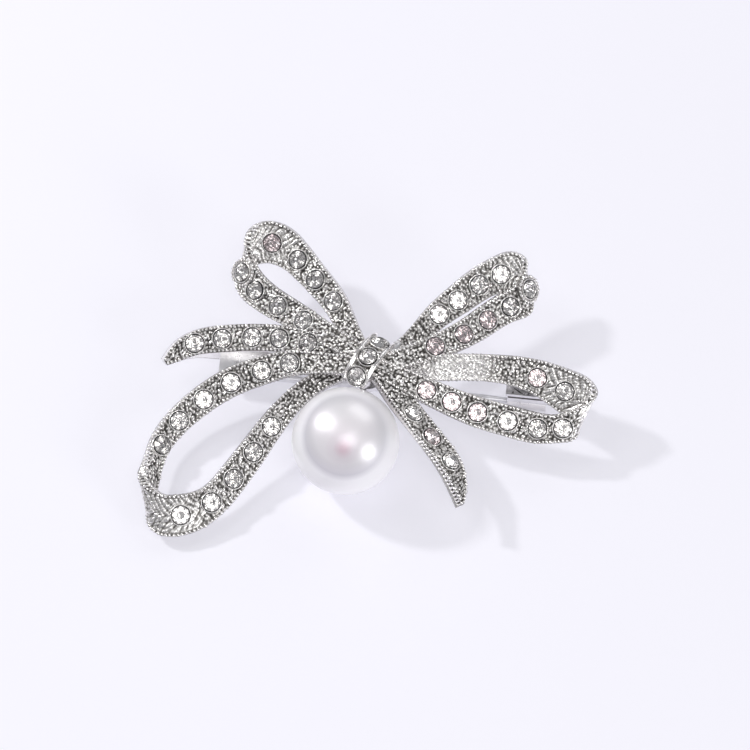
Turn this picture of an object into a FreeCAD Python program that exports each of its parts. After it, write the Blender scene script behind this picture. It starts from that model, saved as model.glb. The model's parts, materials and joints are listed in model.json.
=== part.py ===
# A bow brooch: six ribbons and a knot set with small stones, a bead pearl hung on a peg,
# and a hinged pin with a turning safety catch on the back.  Millimetres, +Z up: the brooch
# lies face up, the long way of the bow runs along X and the pearl is on the -Y side.
import FreeCAD, Part
import math
import os
import Sketcher

os.makedirs("parts", exist_ok=True)
Vector = FreeCAD.Vector
Rotation = FreeCAD.Rotation
Placement = FreeCAD.Placement
UP = Vector(0, 0, 1)

doc = FreeCAD.newDocument("bow_brooch")

# ---------------------------------------------------------------- driving dimensions
DIMENSIONS = {
    "stone_size": 2.0,        # girdle diameter of every stone
    "stone_point": 0.24,      # flat left at the point of a stone
    "stone_back": 0.9,        # girdle down to the point
    "stone_crown": 0.4,       # girdle up to the table
    "stone_table": 1.2,       # diameter of the table
    "seat_gap": 0.02,         # room between a stone and its seat
    "seat_rise": 0.25,        # how far a seat's cutter stands out of the face
    "ribbon_thick": 1.2,
    "knot_wide": 3.0,
    "knot_low": 5.0,          # underside of the knot
    "knot_top": 9.0,
    "knot_arch": 4.15,        # radius of the knot's arched top
    "knot_back": 3.2,         # arch's reach from the middle, towards the back
    "knot_front": 3.4,
    "knot_foot_back": 2.4,    # the same along the underside
    "knot_foot_front": 3.2,
    "plate_thick": 0.8,       # plate under the knot
    "plate_wide": 3.6,
    "plate_long": 5.2,
    "pearl_size": 12.0,
    "peg_size": 0.9,
    "peg_fit": 0.02,          # glue gap round the peg
    "peg_depth": 6.1,         # drilled hole, from the pearl's skin
    "peg_reach": 1.9,         # peg outside the pearl
    "peg_stop": 0.2,          # room past the peg's end in the drilling
    "cup_size": 3.0,
    "cup_thick": 0.4,
    "pin_height": 1.45,       # pin axis above the table
    "pin_size": 0.9,          # wire diameter
    "pin_straight": 27.6,     # hinge to the start of the taper
    "pin_taper": 8.2,
    "pin_point": 0.1,         # diameter of the point
    "throat_size": 0.72,      # square, between the eye and the neck
    "neck_size": 1.1,         # square neck, against which the wire's straight length starts
    "neck_start": 1.8,
    "neck_long": 1.4,
    "eye_size": 2.2,
    "eye_wide": 0.94,
    "eye_bore": 0.9,
    "rivet_size": 0.8,
    "rivet_head": 1.4,
    "head_thick": 0.3,
    "ear_gap": 1.04,
    "ear_thick": 0.7,
    "ear_bore": 0.84,
    "bridge_long": 5.4,       # plate of the hinge bracket, along the pin
    "bridge_low": 1.2,        # its underside above the pin axis
    "bridge_thick": 0.8,
    "bridge_back": 3.2,       # from the pin axis to its back edge
    "riser_high": 1.2,        # from the bracket's plate into the tail above
    "riser_front": 1.7,
    "riser_inset": 0.4,       # from the ends of a plate to its riser
    "shell_size": 3.1,        # rolled shell of the catch, outside
    "shell_bore": 2.4,
    "shell_long": 4.4,
    "shell_slot": 1.2,
    "sleeve_size": 2.26,      # turning sleeve, outside
    "sleeve_bore": 1.4,
    "sleeve_slot": 1.0,
    "sleeve_long": 4.2,
    "tab_start": 0.8,         # sleeve axis to the tab's root
    "tab_reach": 2.0,         # sleeve axis to the tab's tip
    "tab_thick": 0.4,
    "tab_long": 1.2,
    "window_long": 1.5,
    "window_room": 0.3,       # from the tab's tip to the end of the window's cutter
    "deck_thick": 0.5,        # flat plate of the catch
    "deck_low": 2.55,         # its underside above the pin axis
    "deck_front": 0.8,
    "deck_back": 2.4,
    "deck_long": 4.8,
    "deck_riser": 1.5,        # from the plate into the ribbon above
    "deck_riser_front": 0.4,
    "deck_riser_back": 2.3,
    "web_low": 0.9,           # web from the shell up to the plate
    "web_back": 0.7,
}
# The knot's middle, from the middle of the footprint.
KNOT_SPOT = Vector(0.11, 0.58, 0)
# The band of the knot lies across the bow at this angle to X.
KNOT_TURN = 57.6
# From the knot's middle, in plan: the pearl, the end of its peg and the plate under the knot.
PEARL_SPOT = Vector(-2.6, -9.2, 0)
PEG_END = Vector(-0.5, -1.6, 0)
PLATE_SPOT = Vector(0.3, 0.3, 0)
# The rivet's middle and the middle of the catch, from the knot's middle, in plan.
HINGE_SPOT = Vector(-14.2, 1.6, 0)
CATCH_SPOT = Vector(17.8, -2.0, 0)

# Each ribbon: its middle line from the knot, as (x, y, z) from the knot's middle, the width
# there, which way the upper edge lies (degrees from +X, and degrees up from level), and
# whether a stone sits there.  A loop runs out along the strand whose inside shows, stands
# on edge at the turn, and comes back above or below itself along the strand whose outside
# shows.
RIBBONS = {
    "upper_left_loop": [
        (-0.3, 0.9, 5.8, 2.1, 28, 10, 0),
        (-2.5, 5.3, 6.1, 2.5, 30, 18, 0),
        (-3.9, 8.1, 6.6, 2.9, 33, 25, 1),
        (-5.9, 10.7, 7.0, 3.2, 40, 28, 1),
        (-7.9, 13.2, 7.2, 3.7, 50, 31, 1),
        (-10.9, 15.4, 7.3, 4.8, 70, 34, 1),
        (-12.8, 15.3, 7.1, 5.0, 80, 35, 0),
        (-14.0, 13.9, 6.8, 4.6, 77, 35, 0),
        (-14.1, 12.0, 6.4, 4.1, 66, 34, 1),
        (-12.7, 9.8, 6.2, 3.6, 60, 32, 1),
        (-10.1, 7.6, 6.4, 3.3, 56, 29, 1),
        (-7.2, 5.5, 6.8, 3.0, 54, 24, 1),
        (-4.4, 3.2, 7.4, 2.6, 52, 17, 0),
        (-0.3, 0.4, 7.7, 2.1, 50, 10, 0)],
    "upper_right_loop": [
        (0.6, -0.2, 5.8, 2.1, 130, 10, 0),
        (5.0, 3.5, 6.2, 2.4, 132, 18, 0),
        (7.8, 6.3, 6.9, 3.0, 134, 24, 1),
        (9.9, 7.9, 7.3, 3.4, 134, 27, 1),
        (12.3, 9.8, 7.5, 3.7, 126, 31, 1),
        (14.8, 11.2, 7.5, 4.2, 108, 34, 1),
        (16.5, 11.5, 7.4, 4.3, 98, 36, 0),
        (17.7, 10.8, 7.1, 4.1, 96, 36, 0),
        (18.0, 9.6, 6.8, 3.8, 104, 35, 1),
        (17.3, 8.5, 6.5, 3.6, 114, 34, 0),
        (15.8, 7.6, 6.4, 3.5, 120, 33, 1),
        (13.2, 5.8, 6.5, 3.3, 126, 30, 1),
        (10.5, 3.8, 6.7, 3.1, 122, 24, 1),
        (7.3, 2.0, 7.1, 2.7, 116, 18, 1),
        (3.9, 0.4, 7.5, 2.3, 112, 13, 0),
        (0.6, -0.9, 7.7, 2.1, 112, 10, 0)],
    "right_loop": [
        (0.4, 0.0, 5.9, 2.2, 90, 14, 0),
        (5.2, -0.1, 6.0, 2.8, 90, 22, 0),
        (9.6, -0.1, 6.3, 3.0, 90, 27, 0),
        (14.1, -0.3, 6.4, 3.1, 86, 30, 0),
        (18.9, -1.4, 6.3, 3.9, 72, 33, 1),
        (22.0, -3.0, 6.1, 4.8, 60, 36, 1),
        (23.6, -4.2, 5.8, 5.1, 54, 36, 0),
        (24.0, -5.4, 5.5, 4.8, 58, 36, 0),
        (23.1, -6.5, 5.2, 4.1, 70, 35, 0),
        (21.6, -7.0, 4.9, 3.3, 82, 34, 1),
        (18.8, -7.0, 4.8, 3.4, 84, 33, 1),
        (15.5, -6.2, 5.0, 3.5, 76, 30, 1),
        (12.1, -5.3, 5.4, 3.4, 73, 26, 1),
        (9.2, -4.3, 5.9, 3.1, 70, 21, 1),
        (6.4, -3.2, 6.5, 2.8, 68, 16, 1),
        (0.5, -0.6, 7.5, 2.1, 66, 10, 0)],
    "lower_left_loop": [
        (-0.4, -0.6, 7.3, 2.1, 98, 12, 0),
        (-5.6, 0.2, 6.7, 2.5, 92, 17, 0),
        (-8.8, 0.5, 6.1, 2.9, 96, 22, 1),
        (-12.0, 0.0, 5.3, 3.2, 106, 26, 1),
        (-15.5, -1.1, 4.6, 3.3, 112, 29, 1),
        (-18.6, -2.9, 3.9, 3.2, 118, 30, 1),
        (-21.4, -5.3, 3.3, 3.0, 124, 31, 1),
        (-23.4, -8.2, 2.9, 2.8, 126, 32, 1),
        (-24.4, -12.0, 2.7, 3.3, 116, 32, 0),
        (-24.5, -15.2, 2.6, 4.7, 100, 32, 0),
        (-22.9, -16.6, 2.5, 4.7, 94, 32, 0),
        (-20.9, -16.6, 2.5, 4.6, 108, 32, 1),
        (-17.6, -15.1, 2.6, 3.7, 130, 31, 1),
        (-15.2, -12.4, 3.0, 3.4, 138, 30, 1),
        (-13.0, -9.5, 3.8, 3.2, 142, 28, 1),
        (-11.0, -6.7, 4.5, 2.9, 142, 25, 1),
        (-8.7, -3.9, 5.0, 2.6, 136, 20, 0),
        (-5.4, -1.2, 5.2, 2.2, 128, 15, 0),
        (-0.6, 0.3, 5.7, 2.0, 120, 10, 0)],
    "left_tail": [
        (-0.4, 0.3, 6.9, 2.1, 66, 14, 0),
        (-4.4, 2.0, 6.5, 2.4, 68, 20, 0),
        (-6.7, 3.0, 6.2, 2.7, 70, 25, 1),
        (-10.0, 3.9, 5.7, 3.0, 78, 28, 1),
        (-13.1, 4.3, 5.3, 3.0, 86, 30, 1),
        (-16.5, 4.4, 4.8, 3.0, 92, 32, 1),
        (-19.7, 4.1, 4.3, 2.7, 102, 34, 1),
        (-21.7, 3.1, 4.0, 2.1, 118, 36, 0),
        (-23.1, 1.9, 3.8, 0.8, 130, 38, 0)],
    "right_tail": [
        (0.6, -0.4, 7.0, 2.0, 30, -12, 0),
        (3.0, -3.7, 6.7, 2.7, 35, -18, 0),
        (4.8, -6.2, 6.3, 3.1, 36, -22, 1),
        (6.8, -8.9, 5.8, 3.3, 36, -24, 1),
        (8.8, -11.7, 5.3, 3.2, 36, -26, 1),
        (9.6, -13.5, 5.1, 2.8, 44, -26, 0),
        (10.0, -15.1, 4.9, 2.0, 52, -26, 0),
        (10.1, -16.6, 4.8, 0.6, 58, -26, 0)],
}
# Where two ribbons meet at the knot, the one that comes later here is cut away.
RIBBON_ORDER = list(RIBBONS)
# The knot's stones, as distances along the band from its middle.
KNOT_STONES = (2.3, -0.2, -2.6)
# How far a cutter is carried past the metal it cuts, at least.
PAST = 1.0

sheet = doc.addObject("Spreadsheet::Sheet", "Sheet")


def write_sheet():
    """Every driving dimension in a cell of its own, with the ribbon widths after them."""
    rows = dict(DIMENSIONS)
    for name, line in RIBBONS.items():
        for index, station in enumerate(line):
            rows[f"{name}_wide_{index}"] = station[3]
    for row, (alias, value) in enumerate(rows.items(), start=1):
        sheet.set(f"A{row}", alias)
        sheet.set(f"B{row}", str(value))
        sheet.setAlias(f"B{row}", alias)
    doc.recompute()


def size(alias):
    return float(sheet.get(alias))


def bind(thing, **formulas):
    """Tie properties to formulas in which a bare alias stands for its cell."""
    for prop, formula in formulas.items():
        thing.setExpression(prop, formula.replace("$", "Sheet."))
    return thing


def make(kind, name, placement=None, **formulas):
    """A Part object with its sizes bound to the sheet."""
    thing = doc.addObject(kind, name)
    bind(thing, **formulas)
    if placement is not None:
        thing.Placement = placement
    return thing


def fused(name, pieces):
    thing = doc.addObject("Part::MultiFuse", name)
    thing.Shapes = pieces
    thing.Refine = True
    return thing


def cut(name, base, tool):
    thing = doc.addObject("Part::Cut", name)
    thing.Base = base
    thing.Tool = tool
    return thing


def plane(body, role):
    return next(p for p in body.Origin.OriginFeatures if p.Role == role)


def sketch_on(body, name, role, offset=None):
    sketch = body.newObject("Sketcher::SketchObject", name)
    sketch.AttachmentSupport = (plane(body, role), [""])
    sketch.MapMode = "FlatFace"
    if offset is not None:
        sketch.AttachmentOffset = offset
    return sketch


def rectangle(sketch, wide, tall, wide_formula, tall_formula):
    """A rectangle centred on the sketch's origin."""
    corners = [Vector(sx * wide / 2, sy * tall / 2, 0)
               for sx, sy in ((-1, -1), (1, -1), (1, 1), (-1, 1))]
    for index in range(4):
        sketch.addGeometry(Part.LineSegment(corners[index], corners[(index + 1) % 4]), False)
    for index in range(4):
        sketch.addConstraint(Sketcher.Constraint("Coincident", index, 2, (index + 1) % 4, 1))
        direction = "Vertical" if index % 2 else "Horizontal"
        sketch.addConstraint(Sketcher.Constraint(direction, index))
    sketch.addConstraint(Sketcher.Constraint("Symmetric", 0, 1, 2, 1, -1, 1))
    for name, edge, value, formula in (("wide", 0, wide, wide_formula),
                                       ("tall", 1, tall, tall_formula)):
        number = sketch.addConstraint(Sketcher.Constraint("Distance", edge, value))
        sketch.renameConstraint(number, name)
        bind(sketch, **{f"Constraints.{name}": formula})


def stations(line):
    """The placement of each section: X across the ribbon, Y through it, Z along it."""
    points = [KNOT_SPOT + Vector(*station[:3]) for station in line]
    frames = []
    for index, station in enumerate(line):
        along = Vector(0, 0, 0)
        if index > 0:
            along += (points[index] - points[index - 1]).normalize()
        if index < len(line) - 1:
            along += (points[index + 1] - points[index]).normalize()
        along.normalize()
        turn = math.radians(station[4])
        rise = math.radians(station[5])
        across = Vector(math.cos(turn) * math.cos(rise), math.sin(turn) * math.cos(rise),
                        math.sin(rise))
        through = along.cross(across).normalize()
        frames.append(Placement(points[index], Rotation(across, through, across.cross(through), "ZXY")))
    return frames


def tail_blank(name, line):
    """A smooth loft through a section at every station."""
    body = doc.addObject("PartDesign::Body", f"{name}_blank")
    sections = []
    for index, frame in enumerate(stations(line)):
        sketch = sketch_on(body, f"{name}_section_{index}", "XY_Plane", frame)
        rectangle(sketch, line[index][3], size("ribbon_thick"),
                  f"${name}_wide_{index}", "$ribbon_thick")
        sections.append(sketch)
    loft = body.newObject("PartDesign::AdditiveLoft", f"{name}_loft")
    loft.Profile = sections[0]
    loft.Sections = sections[1:]
    loft.Ruled = False
    return body


def loop_blank(name, line):
    """A loop turns by more than half a turn, which a loft can't follow, so it is closed
    from ruled faces between four smooth rails, one through each corner of the sections."""
    frames = stations(line)
    half_thick = size("ribbon_thick") / 2
    halves = [size(f"{name}_wide_{index}") / 2 for index in range(len(line))]
    reach = [0.0]
    for start, end in zip(frames, frames[1:]):
        reach.append(reach[-1] + (end.Base - start.Base).Length)

    def corner(index, side, face):
        return frames[index].multVec(Vector(side * halves[index], face * half_thick, 0))

    corners = ((-1, -1), (1, -1), (1, 1), (-1, 1))
    rails = []
    for side, face in corners:
        curve = Part.BSplineCurve()
        curve.interpolate(Points=[corner(index, side, face) for index in range(len(line))],
                          Parameters=reach)
        rails.append([curve.toShape(low, high) for low, high in zip(reach, reach[1:])])
    faces = [Part.makeRuledSurface(one, other, 1)
             for number in range(4)
             for one, other in zip(rails[number], rails[(number + 1) % 4])]
    for index, order in ((0, corners), (len(line) - 1, corners[::-1])):
        outline = [corner(index, side, face) for side, face in order]
        faces.append(Part.Face(Part.makePolygon(outline + outline[:1])))
    shell = Part.makeShell(faces)
    shell.sewShape()
    solid = Part.makeSolid(shell)
    if solid.Volume < 0:
        solid.reverse()
    thing = doc.addObject("Part::Feature", f"{name}_blank")
    thing.Shape = solid
    return thing


def face_frame(frame, half_thick):
    """A placement on the ribbon's upper face, with Z out of the face."""
    through = frame.Rotation.multVec(Vector(0, 1, 0))
    outward = through if through.z > 0 else through * -1
    return Placement(frame.Base + outward * half_thick, Rotation(UP, outward))


def ribbon_stone_frames(name):
    line = RIBBONS[name]
    return [face_frame(frame, size("ribbon_thick") / 2)
            for frame, station in zip(stations(line), line) if station[6]]


def stone(name, frame):
    """A stone with a pointed back, its girdle in the face."""
    back = make("Part::Cone", f"{name}_back",
                frame * Placement(Vector(0, 0, -size("stone_back")), Rotation()),
                Radius1="$stone_point / 2", Radius2="$stone_size / 2", Height="$stone_back")
    crown = make("Part::Cone", f"{name}_crown", frame,
                 Radius1="$stone_size / 2", Radius2="$stone_table / 2", Height="$stone_crown")
    return fused(name, [back, crown])


def seat(name, frame):
    """The stone's back, larger by the gap and carried on out of the face."""
    low = -size("stone_back") - size("seat_gap")
    slope = "($stone_size - $stone_point) / 2 / $stone_back"
    return make("Part::Cone", name, frame * Placement(Vector(0, 0, low), Rotation()),
                Radius1="$stone_point / 2 + $seat_gap",
                Radius2=f"$stone_size / 2 + $seat_gap + {slope} * $seat_rise",
                Height="$stone_back + $seat_gap + $seat_rise")


def set_stones(name, blank, frames, beside=()):
    """The casting with a seat under each stone, and its stones as one group of solids.  A
    stone of another ribbon that lies beside this one gets a seat here too."""
    seats = [seat(f"{name}_seat_{n}", frame) for n, frame in enumerate([*frames, *beside])]
    casting = cut(name, blank, fused(f"{name}_seats", seats))
    group = doc.addObject("Part::Compound", f"{name}_stones")
    group.Links = [stone(f"{name}_stone_{n}", frame) for n, frame in enumerate(frames)]
    return {name: casting, f"{name}_stones": group}


def knot_blank():
    """The knot's band: an arched block across the bow, leaning back over the pearl."""
    body = doc.addObject("PartDesign::Body", "knot_blank")
    sketch = sketch_on(body, "knot_profile", "XZ_Plane")
    low = size("knot_low")
    top = size("knot_top")
    radius = size("knot_arch")

    def on_arch(across):
        return Vector(across, top - radius + math.sqrt(radius ** 2 - across ** 2), 0)

    left = on_arch(-size("knot_back"))
    right = on_arch(size("knot_front"))
    low_left = Vector(-size("knot_foot_back"), low, 0)
    low_right = Vector(size("knot_foot_front"), low, 0)
    sketch.addGeometry(Part.Arc(left, Vector(0, top, 0), right), False)
    for start, end in ((right, low_right), (low_right, low_left), (low_left, left)):
        sketch.addGeometry(Part.LineSegment(start, end), False)
    sketch.addConstraint(Sketcher.Constraint("Coincident", 1, 2, 2, 1))
    sketch.addConstraint(Sketcher.Constraint("Coincident", 2, 2, 3, 1))
    sketch.addConstraint(Sketcher.Constraint("Horizontal", 2))
    pad = body.newObject("PartDesign::Pad", "knot_pad")
    pad.Profile = sketch
    pad.SideType = "Symmetric"
    bind(pad, Length="$knot_wide")
    body.Placement = Placement(KNOT_SPOT, Rotation(UP, KNOT_TURN))
    return body


def knot_stone_frames():
    """Stones on the arch, each square to it."""
    place = Placement(KNOT_SPOT, Rotation(UP, KNOT_TURN))
    radius = size("knot_arch")
    frames = []
    for along in KNOT_STONES:
        angle = math.asin(along / radius)
        normal = Vector(math.sin(angle), 0, math.cos(angle))
        spot = Vector(0, 0, size("knot_top") - radius) + normal * radius
        frames.append(place * Placement(spot, Rotation(UP, normal)))
    return frames


def pearl_parts():
    """Pearl, peg and cup on one slanting axis that ends in the plate under the knot."""
    middle = KNOT_SPOT + PEARL_SPOT + Vector(0, 0, size("pearl_size") / 2)
    target = KNOT_SPOT + PEG_END + UP * (size("knot_low") - size("plate_thick") / 2)
    axis = (target - middle).normalize()
    aim = Placement(middle, Rotation(UP, axis))

    def along(distance):
        return aim * Placement(Vector(0, 0, distance), Rotation())

    radius = size("pearl_size") / 2
    ball = make("Part::Sphere", "pearl_ball", aim, Radius="$pearl_size / 2")
    hole = make("Part::Cylinder", "pearl_hole", along(radius - size("peg_depth")),
                Radius="$peg_size / 2 + $peg_fit", Height="$peg_depth + 1")
    pearl = cut("pearl", ball, hole)
    peg_start = radius - size("peg_depth") + size("peg_stop")
    peg_blank = make("Part::Cylinder", "peg_blank", along(peg_start),
                     Radius="$peg_size / 2",
                     Height="$peg_depth - $peg_stop + $peg_reach")
    outer = make("Part::Sphere", "cup_outer", aim, Radius="$pearl_size / 2 + $cup_thick")
    column = make("Part::Cylinder", "cup_column", along(radius / 2),
                  Radius="$cup_size / 2", Height="$pearl_size / 2")
    cap = doc.addObject("Part::Common", "cup_cap")
    cap.Base = outer
    cap.Tool = column
    hollow = make("Part::Sphere", "cup_hollow", aim, Radius="$pearl_size / 2")
    bore = make("Part::Cylinder", "cup_bore", along(radius / 2),
                Radius="$peg_size / 2", Height="$pearl_size / 2")
    cup = cut("pearl_cup", cap, fused("cup_inside", [hollow, bore]))
    return {"pearl": pearl, "pearl_cup": cup}, peg_blank


def back_plate_blank():
    """The plate under the knot, rounded at both ends."""
    body = doc.addObject("PartDesign::Body", "plate_blank")
    sketch = sketch_on(body, "plate_outline", "XY_Plane")
    half = (size("plate_long") - size("plate_wide")) / 2
    radius = size("plate_wide") / 2
    for sign in (1, -1):
        ends = Vector(0, sign * radius, 0), Vector(0, -sign * radius, 0)
        shift = Vector(sign * half, 0, 0)
        tip = Vector(sign * (half + radius), 0, 0)
        sketch.addGeometry(Part.Arc(ends[0] + shift, tip, ends[1] + shift), False)
        start = ends[1] + shift
        sketch.addGeometry(Part.LineSegment(start, start - shift * 2), False)
    pad = body.newObject("PartDesign::Pad", "plate_pad")
    pad.Profile = sketch
    bind(pad, Length="$plate_thick")
    low = size("knot_low") - size("plate_thick")
    body.Placement = Placement(KNOT_SPOT + PLATE_SPOT + UP * low, Rotation(UP, KNOT_TURN))
    return body


# The pin's frame: X from the hinge to the catch, Y to the back, Z up.
PIN_LINE = CATCH_SPOT - HINGE_SPOT
PIN_TURN = math.degrees(math.atan2(PIN_LINE.y, PIN_LINE.x))


def pin_frame(x=0.0, y=0.0, z=0.0, rotation=Rotation()):
    """A placement in the pin's frame, whose origin is the rivet's middle."""
    base = Placement(KNOT_SPOT + HINGE_SPOT + Vector(0, 0, size("pin_height")),
                     Rotation(UP, PIN_TURN))
    return base * Placement(Vector(x, y, z), rotation)


ALONG_PIN = Rotation(Vector(0, 1, 0), 90)
ACROSS_PIN = Rotation(Vector(1, 0, 0), 90)
ROUND_PIN = Rotation(Vector(0, 1, 0), Vector(0, 0, 1), Vector(1, 0, 0), "ZXY")
TAB_OPEN = 45           # the tab's angle above the pin's back side, catch open
WINDOW_START = -52      # the tab's window runs from here, about the pin's axis
WINDOW_SWEEP = 112


def box(name, low, high, turn=0):
    """A box in the pin's frame from one corner to the other, turned about the pin's axis."""
    thing = doc.addObject("Part::Box", name)
    thing.Length = high[0] - low[0]
    thing.Width = high[1] - low[1]
    thing.Height = high[2] - low[2]
    thing.Placement = pin_frame(rotation=Rotation(Vector(1, 0, 0), turn)) * Placement(
        Vector(*low), Rotation())
    return thing


def rod(name, start, reach, axis, **formulas):
    """A cylinder in the pin's frame: along the pin, or across it towards -Y."""
    return make("Part::Cylinder", name, pin_frame(*start, axis), Height=reach, **formulas)


def hinge_parts(tail):
    """The bracket soldered under the left tail, and its rivet."""
    ear_out = size("ear_gap") / 2 + size("ear_thick")
    half = size("bridge_long") / 2
    low = size("bridge_low")
    high = low + size("bridge_thick")
    riser_half = half - size("riser_inset")
    ear_round = size("pin_height")
    block = [
        rod("ear_round", (0, ear_out, 0), "$ear_gap + 2 * $ear_thick", ACROSS_PIN,
            Radius="$pin_height"),
        box("ear_web", (-ear_round, -ear_out, 0), (ear_round, ear_out, high)),
        box("bridge", (-half, -ear_out, low), (half, size("bridge_back"), high)),
        box("bridge_riser", (-riser_half, size("riser_front"), low),
            (riser_half, size("bridge_back"), high + size("riser_high"))),
    ]
    away = fused("hinge_waste", [
        box("eye_room", (-half, -size("ear_gap") / 2, -ear_round - PAST),
            (half, size("ear_gap") / 2, low)),
        rod("rivet_hole", (0, ear_out + PAST, 0), f"$ear_gap + 2 * $ear_thick + {2 * PAST}",
            ACROSS_PIN, Radius="$ear_bore / 2"),
        tail,
    ])
    bracket = cut("hinge_bracket", fused("hinge_block", block), away)
    shank_half = ear_out + size("head_thick")
    rivet = fused("hinge_rivet", [
        rod("rivet_shank", (0, shank_half, 0), "$ear_gap + 2 * ($ear_thick + $head_thick)",
            ACROSS_PIN, Radius="$rivet_size / 2"),
        rod("rivet_head_back", (0, shank_half, 0), "$head_thick", ACROSS_PIN,
            Radius="$rivet_head / 2"),
        rod("rivet_head_front", (0, -ear_out, 0), "$head_thick", ACROSS_PIN,
            Radius="$rivet_head / 2"),
    ])
    return {"hinge_bracket": bracket, "hinge_rivet": rivet}


def stem_parts():
    """The pin: an eye round the rivet, a square throat and neck, a straight wire and a long
    taper."""
    neck_middle = size("neck_start") + size("neck_long") / 2
    throat_half = size("throat_size") / 2
    neck_half = size("neck_size") / 2
    eye = rod("pin_eye", (0, size("eye_wide") / 2, 0), "$eye_wide", ACROSS_PIN,
              Radius="$eye_size / 2")
    throat = box("pin_throat", (0, -throat_half, -throat_half),
                 (neck_middle, throat_half, throat_half))
    wire = rod("pin_wire", (neck_middle, 0, 0), "$pin_straight - $neck_start - $neck_long / 2",
               ALONG_PIN, Radius="$pin_size / 2")
    taper = make("Part::Cone", "pin_taper_end",
                 pin_frame(size("pin_straight"), 0, 0, ALONG_PIN),
                 Radius1="$pin_size / 2", Radius2="$pin_point / 2", Height="$pin_taper")
    neck = box("pin_neck", (size("neck_start"), -neck_half, -neck_half),
               (size("neck_start") + size("neck_long"), neck_half, neck_half))
    bore = rod("pin_eye_bore", (0, size("eye_wide") / 2 + PAST, 0), f"$eye_wide + {2 * PAST}",
               ACROSS_PIN, Radius="$eye_bore / 2")
    return {"pin_stem": cut("pin_stem", fused("pin_blank", [eye, throat, neck, wire, taper]), bore)}


def catch_parts(loop):
    """The rolled shell soldered under the right loop, and the sleeve that turns in it."""
    middle = PIN_LINE.Length
    shell_start = middle - size("shell_long") / 2
    deck_low = size("deck_low")
    deck_high = deck_low + size("deck_thick")
    deck_half = size("deck_long") / 2
    riser_half = deck_half - size("riser_inset")
    web_half = size("shell_long") / 2
    block = [
        rod("shell_round", (shell_start, 0, 0), "$shell_long", ALONG_PIN,
            Radius="$shell_size / 2"),
        box("shell_web", (middle - web_half, -size("deck_front"), size("web_low")),
            (middle + web_half, size("web_back"), deck_low)),
        box("deck", (middle - deck_half, -size("deck_front"), deck_low),
            (middle + deck_half, size("deck_back"), deck_high)),
        box("deck_riser", (middle - riser_half, size("deck_riser_front"), deck_high),
            (middle + riser_half, size("deck_riser_back"), deck_high + size("deck_riser"))),
    ]
    window = make("Part::Cylinder", "tab_window", pin_frame(
        middle - size("window_long") / 2, 0, 0, Rotation(Vector(1, 0, 0), WINDOW_START) * ROUND_PIN),
        Radius="$tab_reach + $window_room", Height="$window_long")
    window.Angle = WINDOW_SWEEP
    slot = size("shell_slot") / 2
    below = -size("pin_height") - PAST
    away = fused("catch_waste", [
        rod("shell_inside", (shell_start - PAST, 0, 0), f"$shell_long + {2 * PAST}", ALONG_PIN,
            Radius="$shell_bore / 2"),
        box("shell_opening", (shell_start - PAST, -slot, below),
            (shell_start + size("shell_long") + PAST, slot, 0)),
        window,
        loop,
    ])
    shell = cut("catch_shell", fused("catch_block", block), away)

    sleeve_start = middle - size("sleeve_long") / 2
    tab_half = size("tab_long") / 2
    thin = size("tab_thick") / 2
    sleeve_blank = fused("sleeve_blank", [
        rod("sleeve_round", (sleeve_start, 0, 0), "$sleeve_long", ALONG_PIN,
            Radius="$sleeve_size / 2"),
        box("sleeve_tab", (middle - tab_half, size("tab_start"), -thin),
            (middle + tab_half, size("tab_reach"), thin), TAB_OPEN),
    ])
    slit = size("sleeve_slot") / 2
    inside = fused("sleeve_inside", [
        rod("sleeve_hole", (sleeve_start - PAST, 0, 0), f"$sleeve_long + {2 * PAST}", ALONG_PIN,
            Radius="$sleeve_bore / 2"),
        box("sleeve_opening", (sleeve_start - PAST, -slit, below),
            (sleeve_start + size("sleeve_long") + PAST, slit, 0)),
    ])
    return {"catch_shell": shell, "catch_sleeve": cut("catch_sleeve", sleeve_blank, inside)}


def build():
    """Every node by name."""
    nodes = {}
    knot = knot_blank()
    blanks = {}
    for name, line in RIBBONS.items():
        blanks[name] = (tail_blank if name.endswith("tail") else loop_blank)(name, line)
    doc.recompute()
    for place, name in enumerate(RIBBON_ORDER):
        earlier = [blanks[other] for other in RIBBON_ORDER[:place]]
        trimmed = cut(f"{name}_trimmed", blanks[name], fused(f"{name}_waste", [knot, *earlier])
                      if earlier else knot)
        beside = ribbon_stone_frames("left_tail") if name == "upper_left_loop" else ()
        nodes.update(set_stones(name, trimmed, ribbon_stone_frames(name), beside))
    nodes.update(set_stones("knot", knot, knot_stone_frames()))
    pearl, peg_blank = pearl_parts()
    nodes.update(pearl)
    ribbons_over_plate = [blanks["lower_left_loop"], blanks["right_loop"]]
    nodes["back_plate"] = cut("back_plate", back_plate_blank(),
                              fused("plate_waste", [peg_blank, *ribbons_over_plate]))
    nodes["pearl_peg"] = cut("pearl_peg", peg_blank, knot)
    nodes.update(hinge_parts(blanks["left_tail"]))
    nodes.update(stem_parts())
    nodes.update(catch_parts(blanks["right_loop"]))
    for name, node in nodes.items():
        node.Label = name
    doc.recompute()
    return nodes


def export(nodes):
    """Stop at anything that failed, then write one file for each node."""
    failed = [thing.Name for thing in doc.Objects
              if "Invalid" in thing.State or "Error" in thing.State]
    if failed:
        raise RuntimeError(f"failed objects: {failed}")
    for name, node in nodes.items():
        if node.Shape.isNull() or not node.Shape.isValid():
            raise RuntimeError(f"{name} has no valid shape")
        node.Shape.exportStep(f"parts/{node.Label}.step")
        bounds = node.Shape.BoundBox
        print(f"{name}: {len(node.Shape.Solids)} solids, {node.Shape.Volume:.2f} mm3, "
              f"x {bounds.XMin:.2f} {bounds.XMax:.2f}  y {bounds.YMin:.2f} {bounds.YMax:.2f}  "
              f"z {bounds.ZMin:.2f} {bounds.ZMax:.2f}")


write_sheet()
export(build())
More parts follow.
